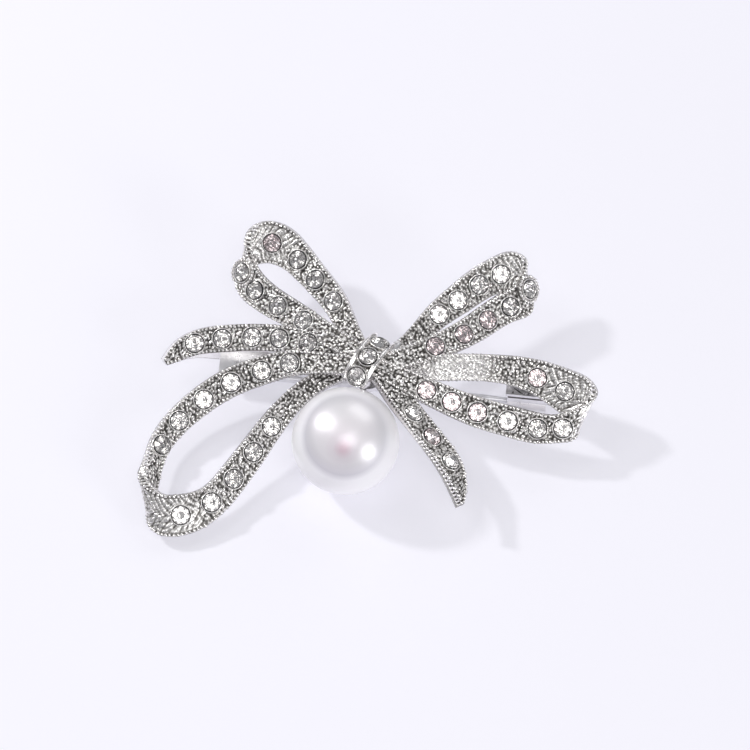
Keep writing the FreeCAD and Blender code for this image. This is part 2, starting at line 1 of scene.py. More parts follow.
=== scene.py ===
"""The looks of the bow brooch: cast ribbons with milgrain edges and a grained channel, faceted
stones in collars, a pearl, and the pin with its catch.  Lengths are worked in millimetres in
the frame of the CAD model and turned into metres when a mesh is made."""
import json
import math

import bpy
import numpy as np
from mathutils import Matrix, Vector

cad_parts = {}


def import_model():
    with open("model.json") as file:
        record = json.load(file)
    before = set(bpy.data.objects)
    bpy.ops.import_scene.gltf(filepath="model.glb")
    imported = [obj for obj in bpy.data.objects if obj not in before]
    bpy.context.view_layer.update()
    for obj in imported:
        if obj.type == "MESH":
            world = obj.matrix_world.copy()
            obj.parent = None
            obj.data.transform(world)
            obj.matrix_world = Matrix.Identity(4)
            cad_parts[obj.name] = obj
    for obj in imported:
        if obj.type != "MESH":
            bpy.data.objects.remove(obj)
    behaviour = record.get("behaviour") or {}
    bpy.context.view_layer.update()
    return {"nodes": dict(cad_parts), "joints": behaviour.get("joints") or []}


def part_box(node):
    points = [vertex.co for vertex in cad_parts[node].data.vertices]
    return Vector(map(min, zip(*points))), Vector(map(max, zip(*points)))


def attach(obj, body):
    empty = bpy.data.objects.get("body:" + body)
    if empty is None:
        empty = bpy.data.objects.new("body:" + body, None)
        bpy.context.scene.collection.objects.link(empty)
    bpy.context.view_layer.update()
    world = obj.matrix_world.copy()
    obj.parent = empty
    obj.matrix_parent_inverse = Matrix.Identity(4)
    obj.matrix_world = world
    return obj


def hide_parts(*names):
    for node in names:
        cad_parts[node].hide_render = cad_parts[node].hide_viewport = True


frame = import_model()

MM = 0.001

# ------------------------------------------------------------------ sizes shared with the CAD
HINGE_FROM_KNOT = (-14.2, 1.6)
KNOT_TURN = math.radians(57.6)
KNOT_WIDE = 3.0
KNOT_TOP = 9.0
KNOT_ARCH = 4.15        # outer radius of the arch
KNOT_STONES = (2.3, -0.2, -2.6)
KNOT_ARC = (-50, 55)    # degrees, either way from the arch's top
KNOT_STATIONS = 12
HALF_THICK = 0.6        # of every ribbon

JOINTS = {joint["name"]: joint for joint in frame["joints"]}
HINGE = np.array(JOINTS["pin_swing"]["pos_m"]) / MM
CATCH = np.array(JOINTS["catch_turn"]["pos_m"]) / MM
KNOT = np.array([HINGE[0] - HINGE_FROM_KNOT[0], HINGE[1] - HINGE_FROM_KNOT[1], 0.0])

# Each ribbon's stations, from the knot's middle: x, y, z, width, which way the upper edge lies
# (degrees from +X, degrees up from level), and whether a stone sits there.
RIBBONS = {
    "upper_left_loop": [
        (-0.3, 0.9, 5.8, 2.1, 28, 10, 0), (-2.5, 5.3, 6.1, 2.5, 30, 18, 0),
        (-3.9, 8.1, 6.6, 2.9, 33, 25, 1), (-5.9, 10.7, 7.0, 3.2, 40, 28, 1),
        (-7.9, 13.2, 7.2, 3.7, 50, 31, 1), (-10.9, 15.4, 7.3, 4.8, 70, 34, 1),
        (-12.8, 15.3, 7.1, 5.0, 80, 35, 0), (-14.0, 13.9, 6.8, 4.6, 77, 35, 0),
        (-14.1, 12.0, 6.4, 4.1, 66, 34, 1), (-12.7, 9.8, 6.2, 3.6, 60, 32, 1),
        (-10.1, 7.6, 6.4, 3.3, 56, 29, 1), (-7.2, 5.5, 6.8, 3.0, 54, 24, 1),
        (-4.4, 3.2, 7.4, 2.6, 52, 17, 0), (-0.3, 0.4, 7.7, 2.1, 50, 10, 0)],
    "upper_right_loop": [
        (0.6, -0.2, 5.8, 2.1, 130, 10, 0), (5.0, 3.5, 6.2, 2.4, 132, 18, 0),
        (7.8, 6.3, 6.9, 3.0, 134, 24, 1), (9.9, 7.9, 7.3, 3.4, 134, 27, 1),
        (12.3, 9.8, 7.5, 3.7, 126, 31, 1), (14.8, 11.2, 7.5, 4.2, 108, 34, 1),
        (16.5, 11.5, 7.4, 4.7, 98, 36, 0), (17.7, 10.8, 7.1, 4.5, 96, 36, 0),
        (17.8, 9.6, 6.8, 4.3, 106, 35, 1), (17.3, 8.5, 6.5, 3.9, 114, 34, 0),
        (15.8, 7.6, 6.4, 3.5, 120, 33, 1), (13.2, 5.8, 6.5, 3.3, 126, 30, 1),
        (10.5, 3.8, 6.7, 3.1, 122, 24, 1), (7.3, 2.0, 7.1, 2.7, 116, 18, 1),
        (3.9, 0.4, 7.5, 2.3, 112, 13, 0), (0.6, -0.9, 7.7, 2.1, 112, 10, 0)],
    "right_loop": [
        (0.4, 0.0, 5.9, 2.2, 90, 14, 0), (5.2, -0.1, 6.0, 2.8, 90, 22, 0),
        (9.6, -0.1, 6.3, 3.0, 90, 27, 0), (14.1, -0.3, 6.4, 3.1, 86, 30, 0),
        (18.9, -1.4, 6.3, 3.9, 72, 33, 1), (22.0, -3.0, 6.1, 4.8, 60, 36, 1),
        (23.6, -4.2, 5.8, 5.1, 54, 36, 0), (24.0, -5.4, 5.5, 4.8, 58, 36, 0),
        (23.1, -6.5, 5.2, 4.1, 70, 35, 0), (21.6, -7.0, 4.9, 3.3, 82, 34, 1),
        (18.8, -7.0, 4.8, 3.4, 84, 33, 1), (15.5, -6.2, 5.0, 3.5, 76, 30, 1),
        (12.1, -5.3, 5.4, 3.4, 73, 26, 1), (9.2, -4.3, 5.9, 3.1, 70, 21, 1),
        (6.4, -3.2, 6.5, 2.8, 68, 16, 1), (0.5, -0.6, 7.5, 2.1, 66, 10, 0)],
    "lower_left_loop": [
        (-0.4, -0.6, 7.3, 2.1, 98, 12, 0), (-5.6, 0.2, 6.7, 2.5, 92, 17, 0),
        (-8.8, 0.5, 6.1, 2.9, 96, 22, 1), (-12.0, 0.0, 5.3, 3.2, 106, 26, 1),
        (-15.5, -1.1, 4.6, 3.3, 112, 29, 1), (-18.6, -2.9, 3.9, 3.2, 118, 30, 1),
        (-21.4, -5.3, 3.3, 3.0, 124, 31, 1), (-23.4, -8.2, 2.9, 2.8, 126, 32, 1),
        (-24.4, -12.0, 2.7, 3.3, 116, 32, 0), (-24.5, -15.2, 2.6, 4.7, 100, 32, 0),
        (-22.9, -16.6, 2.5, 4.7, 94, 32, 0), (-20.9, -16.6, 2.5, 4.6, 108, 32, 1),
        (-17.6, -15.1, 2.6, 3.7, 130, 31, 1), (-15.2, -12.4, 3.0, 3.4, 138, 30, 1),
        (-13.0, -9.5, 3.8, 3.2, 142, 28, 1), (-11.0, -6.7, 4.5, 2.9, 142, 25, 1),
        (-8.7, -3.9, 5.0, 2.6, 136, 20, 0), (-5.4, -1.2, 5.2, 2.2, 128, 15, 0),
        (-0.6, 0.3, 5.7, 2.0, 120, 10, 0)],
    "left_tail": [
        (-0.4, 0.3, 6.9, 2.1, 66, 14, 0), (-4.4, 2.0, 6.5, 2.4, 68, 20, 0),
        (-6.7, 3.0, 6.2, 2.7, 70, 25, 1), (-10.0, 3.9, 5.7, 3.0, 78, 28, 1),
        (-13.1, 4.3, 5.3, 3.0, 86, 30, 1), (-16.5, 4.4, 4.8, 3.0, 92, 32, 1),
        (-19.7, 4.1, 4.3, 2.7, 102, 34, 1), (-21.7, 3.1, 4.0, 2.1, 118, 36, 0),
        (-23.1, 1.9, 3.8, 0.8, 130, 38, 0)],
    "right_tail": [
        (0.6, -0.4, 7.0, 2.0, 30, -12, 0), (3.0, -3.7, 6.7, 2.7, 35, -18, 0),
        (4.8, -6.2, 6.3, 3.1, 36, -22, 1), (6.8, -8.9, 5.8, 3.3, 36, -24, 1),
        (8.8, -11.7, 5.3, 3.2, 36, -26, 1), (9.6, -13.5, 5.1, 2.8, 44, -26, 0),
        (10.0, -15.1, 4.9, 2.0, 52, -26, 0), (10.1, -16.6, 4.8, 0.6, 58, -26, 0)],
}

# ------------------------------------------------------------------ sizes of the detail
SPLINE_STEPS = 3000     # fine steps along a ribbon, from which even rows are read
ROW_STEP = 0.085        # between a casting's rows of points, along the ribbon
FACE_POINTS = 38        # across a face
WALL_POINTS = 10        # across an edge wall

BEAD_PITCH = 0.46
BEAD_RADIUS = 0.205
BEAD_INSET = 0.185      # from the face and from the wall to a bead's middle
BEAD_SHIFT = 0.09       # how far beads stray from their line
BEAD_CLEAR = 1.12       # no bead is nearer than this to a stone's axis,
BEAD_BELOW = -0.7       # between these heights from its girdle
BEAD_ABOVE = 1.6
RIM_WIDE = 0.42
RIM_DROP = 0.20         # floor between the beads, below the face
CHANNEL_DROP = 0.32
GRAIN_PITCH = 0.31
GRAIN_HIGH = 0.22
LEAF_PITCH = 0.72       # between the ribs of the leaves
VEIN_PITCH = 0.5
LEAF_WIDE = (1.95, 2.2)     # half widths over which leaves take the place of grains
WIRE_WIDE = 0.55        # the knot's plain raised edges
WIRE_HIGH = 0.38
BACK_DROP = 0.10        # hollow of the underside
SKIRT_START = (4, 10)   # from the knot, where a deeper wall sets in
SKIRT_END = 9           # from the tip, where it starts to fade
SKIRT_LEAN = 0.35       # towards the front, as a share of its depth

WALL_LIP = 0.62         # share of a wall's half height at which its groove ends
WALL_DROP = 0.10
RUNG_DEEP = 0.16        # of the groove between the rungs
SMOOTH_WALL_DROP = 0.05

BOWL_RADIUS = 1.1       # hollow under a stone
BOWL_DEEP = 0.95
BOWL_RIM = 0.14
FLAT_ROUND_STONE = 1.30     # the casting is level out to here, round a stone
CLEAR_BELOW = 0.30      # a neighbour's stone keeps the casting this far below its girdle
CLEAR_ABOVE = 1.8

COLLAR_INNER = 1.10
COLLAR_OUTER = 1.22
COLLAR_RISE = 0.05
COLLAR_DEEP = 0.45
CUP_OUTER = 1.62        # the seat of a stone at a loop's very edge
CUP_DEEP = 0.95


def smooth(low, high, value):
    """0 below low, 1 above high, and a smooth step between."""
    t = np.clip((value - low) / (high - low), 0, 1)
    return t * t * (3 - 2 * t)


def unit(vectors):
    return vectors / np.linalg.norm(vectors, axis=-1, keepdims=True)


def spline(knots, values, at):
    """Read a natural cubic spline through the values."""
    count = len(knots)
    gaps = np.diff(knots)
    system = np.eye(count)
    right = np.zeros_like(values)
    for i in range(1, count - 1):
        system[i, i - 1:i + 2] = gaps[i - 1], 2 * (gaps[i - 1] + gaps[i]), gaps[i]
        right[i] = 6 * ((values[i + 1] - values[i]) / gaps[i]
                        - (values[i] - values[i - 1]) / gaps[i - 1])
    bend = np.linalg.solve(system, right)
    i = np.clip(np.searchsorted(knots, at, side="right") - 1, 0, count - 2)
    gap = gaps[i][:, None]
    after = (at - knots[i])[:, None]
    before = gap - after
    return ((bend[i] * before ** 3 + bend[i + 1] * after ** 3) / (6 * gap)
            + (values[i] / gap - bend[i] * gap / 6) * before
            + (values[i + 1] / gap - bend[i + 1] * gap / 6) * after)


def stations(line):
    """Middle, half-width vector and half-thickness vector at every station, in mm."""
    table = np.array(line, float)
    middle = table[:, :3] + KNOT
    chords = unit(np.diff(middle, axis=0))
    along = np.zeros_like(middle)
    along[1:] += chords
    along[:-1] += chords
    turn, rise = np.radians(table[:, 4]), np.radians(table[:, 5])
    across = np.stack([np.cos(turn) * np.cos(rise), np.sin(turn) * np.cos(rise), np.sin(rise)], 1)
    through = unit(np.cross(unit(along), across))
    return middle, across * table[:, 3:4] / 2, through * HALF_THICK


class Course:
    """A ribbon's run: rows of middle, half width and half thickness at even steps."""

    def __init__(self, middle, half_wide, half_thick, stones):
        reach = np.concatenate([[0], np.cumsum(np.linalg.norm(np.diff(middle, axis=0), axis=1))])
        values = np.hstack([middle, half_wide, half_thick])
        fine = np.linspace(0, reach[-1], SPLINE_STEPS)
        path = spline(reach, values, fine)
        length = np.concatenate(
            [[0], np.cumsum(np.linalg.norm(np.diff(path[:, :3], axis=0), axis=1))])
        rows = int(length[-1] / ROW_STEP)
        self.s = np.linspace(0, length[-1], rows)
        at = np.interp(self.s, length, fine)
        read = spline(reach, values, at)
        self.middle, self.wide, self.thick = read[:, :3], read[:, 3:6], read[:, 6:]
        self.stones = stones

    def corner(self, side, face, inset):
        """The line along one of the four long corners, set in from the face and the wall."""
        half_wide = np.linalg.norm(self.wide, axis=1, keepdims=True)
        half_thick = np.linalg.norm(self.thick, axis=1, keepdims=True)
        return (self.middle + side * self.wide * np.clip(1 - inset / half_wide, 0.15, 1)
                + face * self.thick * (1 - inset / half_thick))


def ribbon_course(name):
    line = RIBBONS[name]
    middle, wide, thick = stations(line)
    stones = []
    for index, station in enumerate(line):
        if station[6]:
            outward = thick[index] if thick[index][2] > 0 else -thick[index]
            stones.append((middle[index] + outward, unit(outward)))
    return Course(middle, wide, thick, stones)


def knot_course():
    """The knot's band follows its arch, from end to end across the bow."""
    ahead = np.array([math.cos(KNOT_TURN), math.sin(KNOT_TURN), 0])
    across = np.array([-math.sin(KNOT_TURN), math.cos(KNOT_TURN), 0])
    up = np.array([0, 0, 1.0])
    centre = KNOT + up * (KNOT_TOP - KNOT_ARCH)
    angles = np.radians(np.linspace(*KNOT_ARC, KNOT_STATIONS))[:, None]
    outward = ahead * np.sin(angles) + up * np.cos(angles)
    wide = np.tile(across * KNOT_WIDE / 2, (len(angles), 1))
    stones = []
    for along in KNOT_STONES:
        angle = math.asin(along / KNOT_ARCH)
        normal = ahead * math.sin(angle) + up * math.cos(angle)
        stones.append((centre + normal * KNOT_ARCH, normal))
    return Course(centre + outward * (KNOT_ARCH - HALF_THICK), wide, outward * HALF_THICK, stones)


# ------------------------------------------------------------------ mesh helpers
class MeshParts:
    """Collects points, faces, how worn each point is and each face's material, and makes one
    object of them."""

    def __init__(self):
        self.points, self.faces, self.wear, self.slots = [], [], [], []
        self.count = 0

    def add(self, points, faces, wear=1.0, slots=None):
        self.points.append(np.asarray(points, float))
        self.wear.append(np.broadcast_to(np.asarray(wear, float), (len(points),)))
        self.faces.extend([tuple(int(i) + self.count for i in face) for face in faces])
        self.slots.extend(slots or [0] * len(faces))
        self.count += len(points)

    def make(self, name, materials, shade_smooth=True):
        mesh = bpy.data.meshes.new(name)
        points = np.concatenate(self.points) * MM
        mesh.from_pydata(points.tolist(), [], self.faces)
        mesh.polygons.foreach_set("use_smooth", [shade_smooth] * len(self.faces))
        mesh.polygons.foreach_set("material_index", self.slots)
        layer = mesh.attributes.new("wear", "FLOAT", "POINT")
        layer.data.foreach_set("value", np.concatenate(self.wear).astype(np.float32))
        for material in materials:
            mesh.materials.append(material)
        mesh.update()
        thing = bpy.data.objects.new(name, mesh)
        bpy.context.scene.collection.objects.link(thing)
        return thing


def ring_faces(rows, around):
    """Quads of a tube of rings, closed round and capped at both ends."""
    faces = []
    for row in range(rows - 1):
        start = row * around
        for i in range(around):
            j = (i + 1) % around
            faces.append((start + i, start + j, start + around + j, start + around + i))
    faces.append(tuple(range(around))[::-1])
    faces.append(tuple(range((rows - 1) * around, rows * around)))
    return faces


def ball(segments, rings):
    """Points and faces of a unit ball."""
    points = [(0, 0, 1)]
    for ring in range(1, rings):
        tilt = math.pi * ring / rings
        for step in range(segments):
            turn = math.tau * step / segments
            points.append((math.sin(tilt) * math.cos(turn), math.sin(tilt) * math.sin(turn),
                           math.cos(tilt)))
    points.append((0, 0, -1))
    faces = [(0, 1 + i, 1 + (i + 1) % segments) for i in range(segments)]
    for ring in range(rings - 2):
        start = 1 + ring * segments
        for i in range(segments):
            j = (i + 1) % segments
            faces.append((start + i, start + segments + i, start + segments + j, start + j))
    last = len(points) - 1
    start = last - segments
    faces += [(last, start + (i + 1) % segments, start + i) for i in range(segments)]
    return np.array(points), faces


BEAD_BALL = ball(8, 6)


def lathe(profile, around):
    """Points and faces of a closed profile of (radius, height) turned about Z."""
    points = []
    for radius, height in profile:
        for step in range(around):
            turn = math.tau * step / around
            points.append((radius * math.cos(turn), radius * math.sin(turn), height))
    faces = []
    rows = len(profile)
    for row in range(rows):
        start, following = row * around, ((row + 1) % rows) * around
        for i in range(around):
            j = (i + 1) % around
            faces.append((start + i, start + j, following + j, following + i))
    return np.array(points), faces


def frame_of(spot, axis, spin=0.0):
    """The rows of the rotation that takes Z to the axis, and the origin."""
    axis = unit(np.asarray(axis, float))
    side = np.cross([0, 1, 0], axis)
    if np.linalg.norm(side) < 0.2:
        side = np.cross([1, 0, 0], axis)
    side = unit(side)
    front = np.cross(axis, side)
    c, s = math.cos(spin), math.sin(spin)
    return np.array([side * c + front * s, front * c - side * s, axis]), np.asarray(spot, float)


def placed(points, where):
    """Points moved by a rotation's rows and an origin."""
    rotation, spot = where
    return points @ rotation + spot


# ------------------------------------------------------------------ casting detail
RANDOM = np.random.default_rng(7)
SCATTER = RANDOM.random((4096, 4))
SCATTER_PRIMES = (7919, 104729)


def scatter(column, row):
    """Four random numbers for a cell of a grid, always the same for that cell."""
    cell = column.astype(int) * SCATTER_PRIMES[0] + row.astype(int) * SCATTER_PRIMES[1]
    return SCATTER[cell % len(SCATTER)]


def grains(u, v):
    """Height from 0 to 1 of the grains cast into the channel."""
    high = np.zeros_like(u)
    column, row = np.floor(u / GRAIN_PITCH), np.floor(v / GRAIN_PITCH)
    for step_u in (-1, 0, 1):
        for step_v in (-1, 0, 1):
            chance = scatter(column + step_u, row + step_v)
            spot_u = (column + step_u + 0.5 + (chance[..., 0] - 0.5) * 0.95) * GRAIN_PITCH
            spot_v = (row + step_v + 0.5 + (chance[..., 1] - 0.5) * 0.95) * GRAIN_PITCH
            radius = GRAIN_PITCH * (0.36 + 0.32 * chance[..., 2])
            away = np.hypot(u - spot_u, v - spot_v) / radius
            dome = np.sqrt(np.clip(1 - away ** 2, 0, 1)) * (0.45 + 0.55 * chance[..., 3])
            high = np.maximum(high, dome)
    return high


def leaves(u, v):
    """Height from 0 to 1 of the ribbed leaves at a loop's turn, over a few grains."""
    bent = np.abs(v) ** 0.7 + 0.18 * np.sin(u * 2.3)
    ribs = np.abs(np.sin(np.pi * ((u + 0.95 * bent) / LEAF_PITCH))) ** 0.6
    veins = 0.75 + 0.25 * np.sin(math.tau * (u - 1.4 * v) / VEIN_PITCH)
    return 0.75 * ribs * veins + 0.35 * grains(u * 0.8, v * 0.8)


def rungs(s):
    """Height from 0 to 1 of the rungs across an edge wall."""
    return np.clip(np.sin(math.tau * s / BEAD_PITCH) * 1.6, 0, 1)


def casting(course, edges, others=(), plain_wall=False, wire_rim=0.0, polished=0.0, skirt=0.0):
    """The cast body of one ribbon with its beads and collars.

    edges       the (side, face) corners that carry beads
    others      the stones of its neighbours, which it must not cover
    plain_wall  leaves the rungs off the edge walls
    wire_rim    width of a plain raised edge that stands in for beads
    polished    how far from the knot the outgoing strand has lost its grain
    skirt       how much deeper the wall on the side away from the upper edge hangs
    """
    # Every row of points runs round the section: a is the place across it and b the place
    # through it, both from -1 to 1.
    rows = len(course.s)
    half_wide = np.linalg.norm(course.wide, axis=1)[:, None]
    wide_unit, thick_unit = unit(course.wide), unit(course.thick)
    a_face = np.linspace(-1, 1, FACE_POINTS)
    b_wall = np.linspace(1, -1, WALL_POINTS + 2)[1:-1]
    a = np.concatenate([a_face, np.ones(WALL_POINTS), a_face[::-1], -np.ones(WALL_POINTS)])
    b = np.concatenate([np.ones(FACE_POINTS), b_wall, -np.ones(FACE_POINTS), b_wall[::-1]])
    kind = np.repeat(["face", "wall", "face", "wall"],
                     [FACE_POINTS, WALL_POINTS, FACE_POINTS, WALL_POINTS])
    is_face = (kind == "face")[None, :]
    a, b = a[None, :], b[None, :]
    base = (course.middle[:, None] + a[..., None] * course.wide[:, None]
            + b[..., None] * course.thick[:, None])
    outward = np.where(is_face[..., None], np.sign(b)[..., None] * thick_unit[:, None],
                       np.sign(a)[..., None] * wide_unit[:, None])
    s = np.broadcast_to(course.s[:, None], base.shape[:2])
    v = a * half_wide
    upward = smooth(-0.35, 0.05, outward[..., 2])

    # Faces: a rim, a channel full of grains or leaves, and a plain hollow where they look down.
    edge = half_wide * (1 - np.abs(a))
    rim_wide = wire_rim or RIM_WIDE
    in_channel = smooth(rim_wide - 0.07, rim_wide + 0.06, edge)
    leaf = smooth(*LEAF_WIDE, half_wide)
    pattern = grains(s, v) * (1 - leaf) + leaves(s, v) * leaf
    channel = -CHANNEL_DROP + GRAIN_HIGH * pattern
    if wire_rim:
        across_rim = (edge - rim_wide / 2) / (rim_wide / 2 + 0.05)
        rim = np.sqrt(np.clip(1 - across_rim ** 2, 0, 1)) * WIRE_HIGH - 0.05
    else:
        rim = np.full(base.shape[:2], -RIM_DROP)
    face_high = rim * (1 - in_channel) + channel * in_channel
    back_high = -BACK_DROP * smooth(0.3, 0.8, edge) + 0.02 * (pattern - 0.5)
    face_high = face_high * upward + back_high * (1 - upward)

    # Edge walls: a groove with rungs across it.
    groove = 1 - smooth(0.30, WALL_LIP, np.abs(b))
    runged = -WALL_DROP - groove * RUNG_DEEP * (1 - rungs(s))
    wall_high = -SMOOTH_WALL_DROP if plain_wall else runged
    wall_high = np.where(np.abs(b) > WALL_LIP, wall_high * 0.9, wall_high)
    high = np.where(is_face, face_high, wall_high * np.ones_like(s))

    # What stands out is worn bright, what lies deep keeps its oxide.
    wear = np.where(is_face, smooth(-0.30, -0.12, high) * upward + 0.75 * (1 - upward),
                    smooth(-0.26, -0.08, high))
    if not wire_rim:
        between_beads = is_face * (1 - in_channel) * upward
        wear = wear * (1 - 0.85 * between_beads)
    worn_smooth = 0.75 * (1 - smooth(polished - 3, polished + 1, s)) if polished else 0.0
    wear = wear + (0.82 - wear) * worn_smooth
    # A hollow under each stone, and a level ring round it for the collar.
    for spot, axis in course.stones:
        offset = base - spot
        above = offset @ axis
        flat = np.linalg.norm(offset - above[..., None] * axis, axis=-1)
        near = (flat < 1.5) & (np.abs(above) < 0.75) & (outward @ axis > 0.5)
        bowl = np.clip(-BOWL_DEEP * (1 - flat / BOWL_RADIUS) - BOWL_RIM, -BOWL_DEEP, 0)
        take = near * (1 - smooth(BOWL_RADIUS, FLAT_ROUND_STONE, flat))
        level = high * (1 - take) + np.where(flat < BOWL_RADIUS, bowl, -CHANNEL_DROP * 0.6) * take
        high = np.where(near, level, high)
        wear = np.where(near, wear * (1 - take), wear)
    points = base + outward * high[..., None]

    # The wall that hangs deeper, and room for the stones of neighbours.
    top = np.sign(course.thick[:, 2].mean())
    run_out = smooth(0, SKIRT_END, course.s[-1] - s)
    hang = skirt * ((1 - a) / 2) ** 3 * (1 - top * b) / 2 * smooth(*SKIRT_START, s) * run_out
    points[..., 2] -= hang
    points[..., 1] -= SKIRT_LEAN * hang
    for spot, axis in others:
        above = (points - spot) @ axis
        flat = np.linalg.norm(points - spot - above[..., None] * axis, axis=-1)
        over = (flat < FLAT_ROUND_STONE) & (above > -CLEAR_BELOW) & (above < CLEAR_ABOVE)
        points = points - np.where(over, above + CLEAR_BELOW, 0)[..., None] * axis

    parts = MeshParts()
    parts.add(points.reshape(-1, 3), ring_faces(rows, points.shape[1]), wear.reshape(-1))
    add_beads(parts, course, edges, others)
    add_collars(parts, course)
    return parts


def add_beads(parts, course, edges, others):
    """Milgrain beads along the given corners, left out under the stones' collars."""
    points, faces = BEAD_BALL
    stones = [*course.stones, *others]
    for side, face in edges:
        line = course.corner(side, face, BEAD_INSET)
        length = np.concatenate([[0], np.cumsum(np.linalg.norm(np.diff(line, axis=0), axis=1))])
        count = max(2, int(round(length[-1] / BEAD_PITCH)))
        at = (np.arange(count) + 0.5) * length[-1] / count
        spots = np.stack([np.interp(at, length, line[:, k]) for k in range(3)], 1)
        for spot in spots:
            chance = RANDOM.random(4)
            if any(np.linalg.norm(np.cross(spot - middle, axis)) < BEAD_CLEAR
                   and BEAD_BELOW < (spot - middle) @ axis < BEAD_ABOVE
                   for middle, axis in stones):
                continue
            size = BEAD_RADIUS * (0.80 + 0.35 * chance[0])
            shift = (chance[1:] - 0.5) * BEAD_SHIFT
            turned = placed(points * size, frame_of(spot + shift, (chance[1], chance[2], 1.2)))
            parts.add(turned, faces, smooth(-0.06, 0.15, turned[:, 2] - spot[2]))


def add_cup(parts, spot, axis):
    """A cast seat with its own ring of beads, for a stone at a loop's very edge."""
    inner, outer = COLLAR_INNER - 0.05, CUP_OUTER
    profile = [(inner * 0.6, -CUP_DEEP), (outer * 0.8, -CUP_DEEP), (outer, -0.35),
               (outer - 0.08, -0.15), (COLLAR_OUTER, -0.12), (inner, -0.20), (inner * 0.6, -0.60)]
    points, faces = lathe(profile, 40)
    where = frame_of(spot, axis)
    parts.add(placed(points, where), faces, 0.25)
    ball_points, ball_faces = BEAD_BALL
    count = int(math.tau * outer / BEAD_PITCH)
    for step in range(count):
        turn = math.tau * step / count
        middle = np.array([(outer - 0.14) * math.cos(turn), (outer - 0.14) * math.sin(turn), -0.16])
        size = BEAD_RADIUS * (0.80 + 0.3 * RANDOM.random())
        turned = placed(ball_points * size + middle, where)
        parts.add(turned, ball_faces, smooth(-0.06, 0.15, ball_points[:, 2] * size))


def add_collars(parts, course):
    """The thin raised ring round each stone."""
    wall = (COLLAR_OUTER - COLLAR_INNER) / 2
    middle = (COLLAR_OUTER + COLLAR_INNER) / 2
    profile = [(COLLAR_INNER, -COLLAR_DEEP), (COLLAR_OUTER, -COLLAR_DEEP)]
    profile += [(middle + wall * math.cos(t), COLLAR_RISE - wall + wall * math.sin(t))
                for t in np.linspace(0, math.pi, 5)]
    points, faces = lathe(profile, 36)
    wear = 0.8 * smooth(-0.12, 0.03, points[:, 2])
    for spot, axis in course.stones:
        parts.add(placed(points, frame_of(spot, axis)), faces, wear)


# ------------------------------------------------------------------ stones
# (radius, height) of a stone's corners, from the girdle's middle.
TABLE_CORNERS = (0.54, 0.38)
STAR_CORNERS = (0.79, 0.25)
GIRDLE_TOP = (1.0, 0.04)
GIRDLE_LOW = (1.0, -0.03)
PAVILION_CORNERS = (0.46, -0.56)
CULET = (0, 0, -0.84)
STONE_LEAN = 0.16       # how far stones sit out of true


def stone_mesh():
    """A cut stone: table, eight crown mains, sixteen girdle facets, and the pavilion."""
    eight = [math.tau * (i + 0.5) / 8 for i in range(8)]
    between = [math.tau * i / 8 for i in range(8)]
    sixteen = [math.tau * i / 16 for i in range(16)]

    def ring(corners, angles):
        radius, height = corners
        return [(radius * math.cos(t), radius * math.sin(t), height) for t in angles]

    points = ring(TABLE_CORNERS, eight) + ring(STAR_CORNERS, between) + ring(GIRDLE_TOP, sixteen)
    points += ring(GIRDLE_LOW, sixteen) + ring(PAVILION_CORNERS, eight) + [CULET]
    # Where each ring starts in the list of points.
    table, star, top, low, pavilion, culet = 0, 8, 16, 32, 48, 56
    crown = [tuple(range(8))]
    back = []
    for i in range(8):
        j = (i + 1) % 8
        before = (i - 1) % 8
        crown.append((table + before, star + i, table + i))
        crown.append((table + i, star + i, top + 2 * i + 1, star + j))
        crown.append((star + i, top + (2 * i) % 16, top + 2 * i + 1))
        crown.append((star + i, top + (2 * i - 1) % 16, top + (2 * i) % 16))
        back.append((low + 2 * i, pavilion + i, low + 2 * i + 1))
        back.append((low + 2 * i + 1, pavilion + i, low + (2 * i + 2) % 16))
        back.append((low + (2 * i) % 16, pavilion + before, pavilion + i))
        back.append((pavilion + before, culet, pavilion + i))
    for i in range(16):
        j = (i + 1) % 16
        back.append((top + i, low + i, low + j, top + j))
    return np.array(points), crown, back


def stone_group(name, course, materials, blush):
    """All the stones of a ribbon.  blush lists those that are faintly pink."""
    parts = MeshParts()
    points, crown, back = stone_mesh()
    for number, (spot, axis) in enumerate(course.stones):
        chance = RANDOM.random(4)
        lean = axis + (chance[:3] - 0.5) * STONE_LEAN
        where = frame_of(spot + unit(axis) * 0.01, lean, chance[3] * math.tau)
        front_slot = 2 if number in blush else 0
        slots = [front_slot] * len(crown) + [front_slot + 1] * len(back)
        parts.add(placed(points, where), crown + back, 1.0, slots)
    return parts.make(name, materials, shade_smooth=False)


# ------------------------------------------------------------------ materials
def material(name):
    made = bpy.data.materials.new(name)
    made.use_nodes = True
    nodes = made.node_tree.nodes
    return made, nodes, made.node_tree.links, nodes["Principled BSDF"]


def noise(nodes, links, scale, detail=3.0, roughness=0.5):
    """A noise texture on object coordinates, so that its scale is in waves per metre."""
    place = nodes.new("ShaderNodeTexCoord")
    texture = nodes.new("ShaderNodeTexNoise")
    texture.inputs["Scale"].default_value = scale
    texture.inputs["Detail"].default_value = detail
    texture.inputs["Roughness"].default_value = roughness
    links.new(place.outputs["Object"], texture.inputs["Vector"])
    return texture.outputs["Fac"]


def ramp(nodes, links, source, stops):
    """A colour ramp with (position, colour) stops."""
    made = nodes.new("ShaderNodeValToRGB")
    elements = made.color_ramp.elements
    while len(elements) < len(stops):
        elements.new(0.5)
    for element, (position, colour) in zip(elements, stops):
        element.position = position
        element.color = (*colour, 1)
    links.new(source, made.inputs["Fac"])
    return made.outputs["Color"]


def mix(nodes, links, kind, factor, one, other):
    made = nodes.new("ShaderNodeMix")
    made.data_type = "RGBA"
    made.blend_type = kind
    for socket, value in ((0, factor), (6, one), (7, other)):
        if isinstance(value, (int, float)):
            made.inputs[socket].default_value = value
        elif isinstance(value, tuple):
            made.inputs[socket].default_value = (*value, 1)
        else:
            links.new(value, made.inputs[socket])
    return made.outputs[2]


